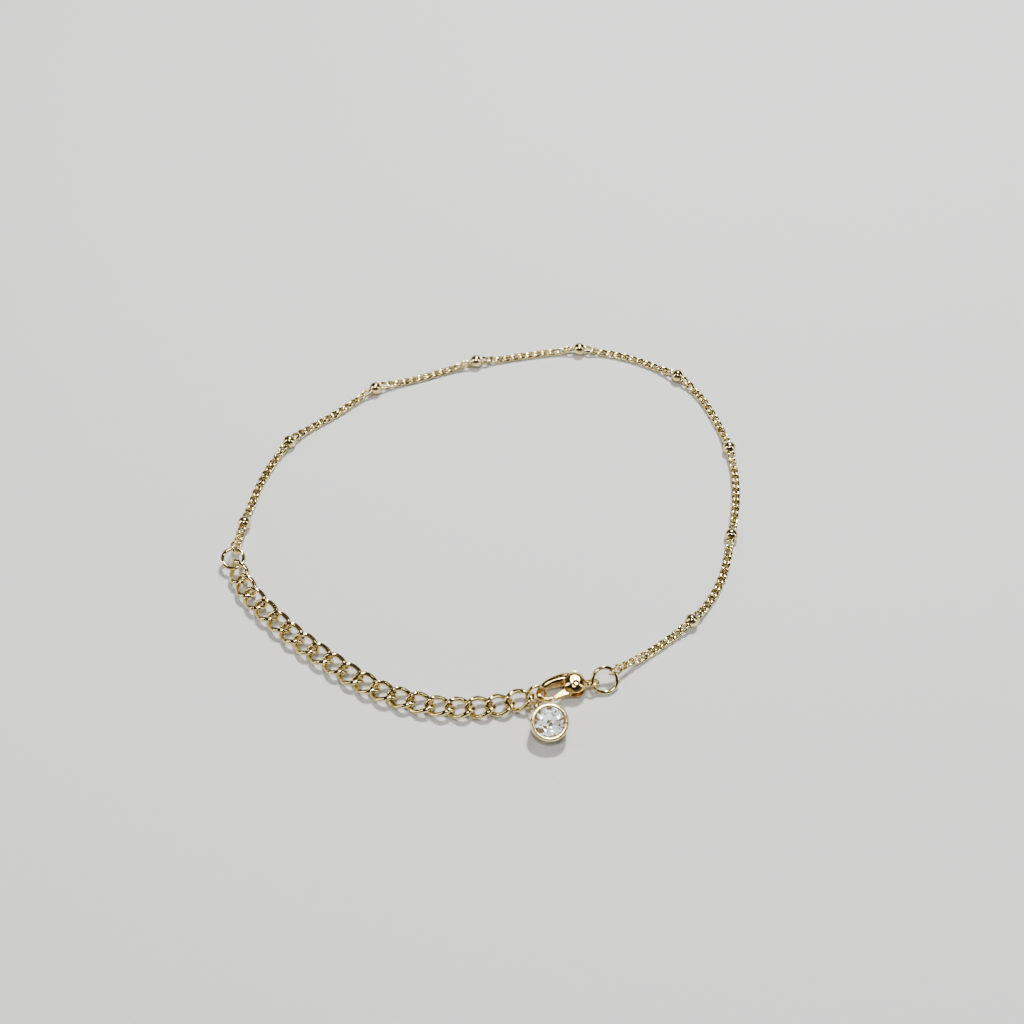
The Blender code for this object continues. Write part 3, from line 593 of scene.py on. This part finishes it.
sections = [(Vector((u * HOOK_REACH, v * HOOK_BOW, 0)), r * HOOK_ROOT_RADIUS) for u, v, r in HOOK_SHAPE]
hook_line = Route([middle for middle, _ in sections], steps=HOOK_STEPS).points
hook_radii = Route([Vector((radius, 0, 0)) for _, radius in sections], steps=HOOK_STEPS).points
rows = len(hook_line) + 1
shape = bmesh.new()
bmesh.ops.create_uvsphere(shape, u_segments=HOOK_SIDES, v_segments=rows, radius=1.0)
for vert in shape.verts:
    turn = math.acos(max(-1.0, min(1.0, vert.co.z)))
    row = min(max(round(turn / math.pi * rows) - 1, 0), rows - 2)
    before = hook_line[max(0, row - 1)]
    after = hook_line[min(rows - 2, row + 1)]
    across = Vector((0, 0, 1)).cross((after - before).normalized())
    size = hook_radii[row].x if abs(vert.co.z) < NEAR_POLE else 0.0
    angle = math.atan2(vert.co.y, vert.co.x)
    height = size * CLASP_FLATTEN * math.sin(angle)
    vert.co = hook_line[row] + across * (size * math.cos(angle)) + Vector((0, 0, height))
hook = part_object(shape, "clasp hook")

eye_line = [Matrix.Rotation(EYE_ROLL, 3, "X") @ point for point in round_points(EYE_RADIUS, EYE_STEPS)]
eye = bpy.data.objects.new("clasp eye", closed_wire(eye_line, EYE_WIRE, EYE_SIDES))
bpy.context.scene.collection.objects.link(eye)
neck_place = Matrix.Translation((EYE_RADIUS - EYE_WIRE / 4 + NECK_LENGTH / 2, 0, 0))
neck = rod(NECK_RADIUS, NECK_LENGTH, neck_place @ Matrix.Rotation(math.pi / 2, 4, "Y"), "clasp neck")
far = 4 * CLASP_THICKNESS
slot = SLOT_HEIGHT / 2
keep = block((-far, -far, -CLASP_THICKNESS / 2), (far, far, CLASP_THICKNESS / 2), "clasp thickness")
gate_slot = block((SLOT_BACK, SLOT_FLOOR, -slot), (LEVER_TIP.x, far, slot), "gate slot")
nib_slot = block((NIB_SLOT_BACK, -far, -slot), (NIB_SLOT_FRONT, -NECK_RADIUS, slot), "nib slot")
pin_hole = rod(PIN_RADIUS + PIN_CLEARANCE, far, Matrix.Translation(PIN_PLACE), "pin hole")
mesh = cast(base, (
    (hook, "UNION"), (neck, "UNION"), (keep, "INTERSECT"), (gate_slot, "DIFFERENCE"),
    (nib_slot, "DIFFERENCE"), (eye, "UNION"), (pin_hole, "DIFFERENCE"),
), CAST_GRAIN, CAST_ROUNDS)
mesh.transform(clasp_place)
finished("clasp_case", mesh, yellow_plate, ["clasp_body"])

pin_length = CLASP_THICKNESS - 2 * PIN_RECESS
shape = bmesh.new()
bmesh.ops.create_cone(shape, cap_ends=True, segments=ROD_SIDES, radius1=PIN_RADIUS, radius2=PIN_RADIUS,
                      depth=pin_length, matrix=Matrix.Translation(PIN_PLACE))
rims = [edge for edge in shape.edges if abs(edge.verts[0].co.z - edge.verts[1].co.z) < PIN_RADIUS / 10]
bmesh.ops.bevel(shape, geom=rims, offset=PIN_RADIUS / 3, offset_type="OFFSET", segments=PIN_EDGE_STEPS,
                profile=ROUND_PROFILE, affect="EDGES", material=-1)
mesh = as_mesh(shape, "pin")
mesh.transform(clasp_place)
finished("clasp_rivet", mesh, pale_plate, ["clasp_pin"])


def flat_bar(tip, root_radius, tip_radius, depth, name):
    """A flat bar from the pin to its tip, round at both ends, as stamped from sheet."""
    reach = tip - PIN_PLACE
    turn = math.atan2(reach.y, reach.x)
    shape = bmesh.new()
    outline = []
    for k in range(BAR_ROOT_STEPS + 1):
        angle = math.pi / 2 + math.pi * k / BAR_ROOT_STEPS
        outline.append(Vector((root_radius * math.cos(angle), root_radius * math.sin(angle), -depth / 2)))
    for k in range(BAR_TIP_STEPS + 1):
        angle = math.pi * k / BAR_TIP_STEPS - math.pi / 2
        outline.append(Vector((reach.length - tip_radius + tip_radius * math.cos(angle),
                               tip_radius * math.sin(angle), -depth / 2)))
    face = shape.faces.new([shape.verts.new(point) for point in outline])
    grown = bmesh.ops.extrude_face_region(shape, geom=[face])
    top = [item for item in grown["geom"] if isinstance(item, bmesh.types.BMVert)]
    bmesh.ops.translate(shape, verts=top, vec=(0, 0, depth))
    return part_object(shape, name, Matrix.Translation(PIN_PLACE) @ Matrix.Rotation(turn, 4, "Z"))


lever_depth = SLOT_HEIGHT - 2 * PIN_CLEARANCE
gate = flat_bar(LEVER_TIP, LEVER_BOSS_RADIUS, LEVER_HALF_WIDTH, lever_depth, "lever gate")
nib = flat_bar(NIB_TIP, NIB_ROOT_RADIUS, LEVER_HALF_WIDTH, lever_depth * NIB_DEPTH_SHARE, "lever nib")
bore = rod(PIN_RADIUS + PIN_CLEARANCE, far, Matrix.Translation(PIN_PLACE), "lever bore")
mesh = cast(gate, ((nib, "UNION"), (bore, "DIFFERENCE")), LEVER_GRAIN, LEVER_ROUNDS)
mesh.transform(clasp_place)
finished("clasp_gate", mesh, yellow_plate, ["clasp_lever"], "lever")


# Charm. A small oval ring joins the setting's soldered loop to the end ring. The setting is a turned
# cup with a polished rim rolled over the stone. It leans back, with its face to the viewer.
CHARM_MIDDLE = Vector((8.2, -32.08)) * MM
CHARM_LEAN = math.radians(26)
BEZEL_RADIUS = 2.4 * MM
BEZEL_BACK_RADIUS = 2.25 * MM
BEZEL_DEPTH = 2.3 * MM
BEZEL_WALL = 0.32 * MM
BEZEL_EDGE = 0.08 * MM
RIM_SLOPE = 0.17 * MM
RIM_FALL = 1.5 * RIM_SLOPE
BEZEL_LIP = 0.08 * MM
BEZEL_LIP_RISE = 0.2 * MM
BEZEL_HOLE_RADIUS = 0.45 * MM
BEZEL_LOOP_RADIUS = 0.56 * MM
BEZEL_LOOP_WIRE = 0.34 * MM
BEZEL_LOOP_AZIMUTH = math.radians(40)
BEZEL_LOOP_DEPTH = 1.9 * MM
CHARM_RING_WIRE = 0.32 * MM
CHARM_RING_HALF_WIDTH = 0.75 * MM
CHARM_RING_CLEARANCE = 0.19 * MM
CHARM_RING_ROLL = math.radians(-20)
STONE_RADIUS = 1.95 * MM
STONE_CROWN = 0.55 * MM
STONE_GIRDLE = 0.1 * MM
STONE_PAVILION = 1.69 * MM
STONE_STAND = 0.1 * MM
STONE_CLEARANCE = 0.14 * MM
SEAT_CLEARANCE = 0.12 * MM
CUP_ROUND_STEPS = 96
CUP_SHARP_EDGE = math.radians(60)
LOOP_STEPS = 40
OVAL_STEPS = 44
CHARM_WIRE_SIDES = 14
charm_height = BEZEL_DEPTH * math.cos(CHARM_LEAN) + BEZEL_BACK_RADIUS * math.sin(CHARM_LEAN)
charm_place = leaning(Vector((*CHARM_MIDDLE, charm_height)), 0.0, CHARM_LEAN)
lip = STONE_RADIUS - BEZEL_LIP
seat = STONE_RADIUS + STONE_CLEARANCE
girdle_top = STONE_STAND - STONE_CROWN
girdle_low = girdle_top - STONE_GIRDLE
cup_profile = (
    (BEZEL_RADIUS - RIM_SLOPE, 0.0), (BEZEL_RADIUS, -RIM_FALL), (BEZEL_RADIUS, -BEZEL_DEPTH / 2),
    (BEZEL_BACK_RADIUS, -BEZEL_DEPTH), (BEZEL_HOLE_RADIUS, -BEZEL_DEPTH),
    (BEZEL_HOLE_RADIUS, BEZEL_WALL / 2 - BEZEL_DEPTH), (seat, girdle_low - 2 * SEAT_CLEARANCE),
    (seat, girdle_top + SEAT_CLEARANCE / 2), (lip, girdle_top + BEZEL_LIP_RISE), (lip, -BEZEL_EDGE),
    (lip + BEZEL_EDGE, 0.0),
)
cup = turned([(radius, 0, height) for radius, height in cup_profile], (0, 0, 1), CUP_ROUND_STEPS,
             BEZEL_EDGE / 3)
cup.transform(charm_place)

outward = Vector((-math.sin(BEZEL_LOOP_AZIMUTH), math.cos(BEZEL_LOOP_AZIMUTH), 0))
root = charm_place @ (outward * (BEZEL_BACK_RADIUS - BEZEL_WALL / 4) + Vector((0, 0, -BEZEL_LOOP_DEPTH)))
hang_point = ring_point(end_place, end_radius, END_RING_CHARM_ANGLE)
heading = (hang_point - root).normalized()
level = Vector((0, 0, 1)).cross(heading).normalized()
upright = heading.cross(level)
loop_middle = root + heading * BEZEL_LOOP_RADIUS
loop_line = [loop_middle + heading * p.x + upright * p.y
             for p in round_points(BEZEL_LOOP_RADIUS, LOOP_STEPS)]
cup = together([cup, closed_wire(loop_line, BEZEL_LOOP_WIRE, CHARM_WIRE_SIDES)])
finished("bezel", cup, pale_plate, ["charm_setting"])
cup.set_sharp_from_angle(angle=CUP_SHARP_EDGE)

near_end = 2 * BEZEL_LOOP_RADIUS - (BEZEL_LOOP_WIRE + CHARM_RING_WIRE) / 2 - CHARM_RING_CLEARANCE
far_end = (hang_point - root).length + (END_RING_WIRE + CHARM_RING_WIRE) / 2 + CHARM_RING_CLEARANCE
oval_middle = root + heading * (near_end + far_end) / 2
oval_half = (far_end - near_end) / 2
oval_side = level * math.cos(CHARM_RING_ROLL) + upright * math.sin(CHARM_RING_ROLL)
oval = [oval_middle + heading * oval_half * p.x + oval_side * CHARM_RING_HALF_WIDTH * p.y
        for p in round_points(1.0, OVAL_STEPS)]
oval_ring = closed_wire(oval, CHARM_RING_WIRE, CHARM_WIRE_SIDES)
finished("oval_ring", oval_ring, pale_plate, ["charm_ring"])


# Stone. A clear round brilliant, ground facet by facet: a flat table, eight stars, eight kites and
# sixteen small facets above the girdle, and eight mains and sixteen small facets below it.
STONE_TABLE_RADIUS = 1.12 * MM
FACETS_ROUND = 8
STAR_TILT = math.radians(20)
UPPER_TILT = math.radians(40)
LOWER_TILT = math.radians(42.6)
GIRDLE_SIDES = 64
CUT_REACH = 1e-6
STONE_REFRACTION = 1.68
STONE_CLOUD_SCALE = 600.0
STONE_CLOUD_DETAIL = 2.0
STONE_COOL = (0.93, 0.96, 1.0, 1)
STONE_WHITE = (1.0, 1.0, 1.0, 1)
table_share = STONE_TABLE_RADIUS / STONE_RADIUS
girdle_band = STONE_GIRDLE / STONE_RADIUS
crown_height = STONE_CROWN / STONE_RADIUS
pavilion_depth = STONE_PAVILION / STONE_RADIUS
shape = bmesh.new()
bmesh.ops.create_cone(shape, cap_ends=True, segments=GIRDLE_SIDES, radius1=1.0, radius2=1.0, depth=2.0)


def grind(point, turn, tilt, side):
    """One facet: all beyond its plane is ground away and the cut is closed."""
    across = math.sin(tilt)
    normal = Vector((across * math.cos(turn), across * math.sin(turn), side * math.cos(tilt)))
    found = bmesh.ops.bisect_plane(shape, geom=shape.verts[:] + shape.edges[:] + shape.faces[:],
                                   dist=CUT_REACH, plane_co=point, plane_no=normal, clear_outer=True)
    rim = [item for item in found["geom_cut"] if isinstance(item, bmesh.types.BMEdge)]
    bmesh.ops.holes_fill(shape, edges=rim, sides=0)


eighth = math.tau / FACETS_ROUND
kite_tilt = math.atan2(crown_height, 1 - table_share)
main_tilt = math.atan2(pavilion_depth, 1.0)
grind(Vector((0, 0, crown_height)), 0.0, 0.0, 1)
for k in range(FACETS_ROUND):
    turn = k * eighth
    rim_point = Vector((math.cos(turn), math.sin(turn), 0))
    grind(rim_point, turn, kite_tilt, 1)
    grind(rim_point - Vector((0, 0, girdle_band)), turn, main_tilt, -1)
for k in range(FACETS_ROUND):
    turn = (k + 0.5) * eighth
    edge = table_share * math.cos(eighth / 2)
    grind(Vector((edge * math.cos(turn), edge * math.sin(turn), crown_height)), turn, STAR_TILT, 1)
for k in range(2 * FACETS_ROUND):
    turn = (k + 0.5) * eighth / 2
    rim_point = Vector((math.cos(turn), math.sin(turn), 0))
    grind(rim_point, turn, UPPER_TILT, 1)
    grind(rim_point - Vector((0, 0, girdle_band)), turn, LOWER_TILT, -1)
bmesh.ops.scale(shape, vec=(STONE_RADIUS,) * 3, verts=shape.verts)
bmesh.ops.translate(shape, vec=(0, 0, girdle_top), verts=shape.verts)
bmesh.ops.recalc_face_normals(shape, faces=shape.faces)
mesh = as_mesh(shape, "stone")
mesh.transform(charm_place)

clear_stone, tree, shader = material_tree("clear stone")
shader.inputs["Roughness"].default_value = 0.0
shader.inputs["IOR"].default_value = STONE_REFRACTION
shader.inputs["Transmission Weight"].default_value = 1.0
tone = tones(tree, noise(tree, STONE_CLOUD_SCALE, STONE_CLOUD_DETAIL), 0.0, 1.0, STONE_COOL, STONE_WHITE)
tree.links.new(tone, shader.inputs["Base Color"])
finished("brilliant", mesh, clear_stone, ["charm_stone"])
mesh.shade_flat()


# Studio. A pale matt floor, a main soft light from behind and a little to the right, as the photo's
# shadows show, a weaker one overhead, strips and a card seen in the metal, cards seen only through the
# stone, and a dim sky that is dark above. The camera looks down at the photograph's angle.
FLOOR_HALF = 3.0
VIEW_ANGLE = math.radians(36)
VIEW_ELEVATION = math.radians(52)
VIEW_DISTANCE = 217.3 * MM
VIEW_POINT = Vector((3.545, 3.0, 0)) * MM
NEAREST_SEEN = 1 * MM
FARTHEST_SEEN = 20.0
FLOOR_COLOUR = (0.62, 0.62, 0.61, 1)
FLOOR_ROUGHNESS = 0.8
WHITE = (1.0, 1.0, 1.0)
COOL = (0.82, 0.91, 1.0)
WARM = (1.0, 0.72, 0.36)
AMBER = (1.0, 0.64, 0.26)
COOL_COLUMNS = 4
COOL_CARDS = 12
COOL_STEP = 0.1
COOL_CORNER = (-0.15, -0.31, 0.45)
COOL_SIZE = 0.09
COOL_POWER = 0.016
COOL_POWER_STEP = 0.015
WARM_CARDS = 6
WARM_RADIUS = 0.42
WARM_MIDDLE_Y = -0.20
WARM_HEIGHT = 0.40
WARM_SIZE = 0.18
WARM_POWER = 0.16
SKY_LOW = (0.28, 0.285, 0.30, 1)
SKY_HIGH = (0.03, 0.03, 0.035, 1)
SKY_DARK_FROM = 0.5
shape = bmesh.new()
bmesh.ops.create_grid(shape, x_segments=1, y_segments=1, size=FLOOR_HALF)
floor = part_object(shape, "floor")
pale, _, shader = material_tree("pale floor")
shader.inputs["Base Color"].default_value = FLOOR_COLOUR
shader.inputs["Roughness"].default_value = FLOOR_ROUGHNESS
floor.data.materials.append(pale)


def lamp(name, place, width, depth, power, colour=WHITE):
    """A soft rectangular light, in metres and watts, that faces the middle of the bracelet."""
    light = bpy.data.lights.new(name, "AREA")
    light.shape = "RECTANGLE"
    light.size = width
    light.size_y = depth
    light.energy = power
    light.color = colour
    made = bpy.data.objects.new(name, light)
    made.location = place
    made.rotation_euler = (-Vector(place)).to_track_quat("-Z", "Y").to_euler()
    bpy.context.scene.collection.objects.link(made)
    return made


lamp("main light", (0.08, 0.23, 0.42), 0.06, 0.06, 4.4)
glints = lamp("back card", (0.04, 0.34, 0.42), 0.16, 0.10, 0.35)
glints.visible_diffuse = False
glints.visible_transmission = False
lamp("overhead light", (0.0, -0.15, 0.46), 0.09, 0.06, 1.0)
# The cool cards' powers differ from neighbour to neighbour, so that the facets light up unevenly.
cards = [("warm ceiling", (0.0, 0.0, 0.80), 2.40, 5.0, AMBER)]
for k in range(COOL_CARDS):
    column, row = k % COOL_COLUMNS, k // COOL_COLUMNS
    place = (COOL_CORNER[0] + COOL_STEP * column, COOL_CORNER[1] + COOL_STEP * row, COOL_CORNER[2])
    power = COOL_POWER + COOL_POWER_STEP * ((column + 3 * row) % COOL_COLUMNS)
    cards.append((f"cool card {k}", place, COOL_SIZE, power, COOL))
for k in range(WARM_CARDS):
    turn = math.tau * k / WARM_CARDS
    place = (WARM_RADIUS * math.cos(turn), WARM_RADIUS * math.sin(turn) + WARM_MIDDLE_Y, WARM_HEIGHT)
    cards.append((f"warm card {k}", place, WARM_SIZE, WARM_POWER, WARM))
for name, place, size, power, colour in cards:
    card = lamp(name, place, size, size, power, colour)
    card.visible_glossy = False
    card.visible_diffuse = False
lamp("left strip", (-0.42, -0.05, 0.25), 0.04, 0.4, 0.9, (1.0, 0.98, 0.95))
lamp("right strip", (0.42, -0.1, 0.25), 0.04, 0.4, 0.7, (0.95, 0.98, 1.0))
sky = bpy.data.worlds.new("studio")
sky.use_nodes = True
tree = sky.node_tree
direction = tree.nodes.new("ShaderNodeTexCoord")
parts = tree.nodes.new("ShaderNodeSeparateXYZ")
tree.links.new(direction.outputs["Generated"], parts.inputs["Vector"])
shade = tones(tree, parts.outputs["Z"], 0.0, SKY_DARK_FROM, SKY_LOW, SKY_HIGH)
tree.links.new(shade, tree.nodes["Background"].inputs["Color"])
tree.nodes["Background"].inputs["Strength"].default_value = 1.0
bpy.context.scene.world = sky

view = bpy.data.cameras.new("camera")
view.sensor_fit = "HORIZONTAL"
view.angle = VIEW_ANGLE
view.clip_start = NEAREST_SEEN
view.clip_end = FARTHEST_SEEN
camera = bpy.data.objects.new("camera", view)
back = Vector((0, -math.cos(VIEW_ELEVATION), math.sin(VIEW_ELEVATION)))
camera.location = VIEW_POINT + back * VIEW_DISTANCE
camera.rotation_euler = (math.pi / 2 - VIEW_ELEVATION, 0, 0)
bpy.context.scene.collection.objects.link(camera)
bpy.context.scene.camera = camera
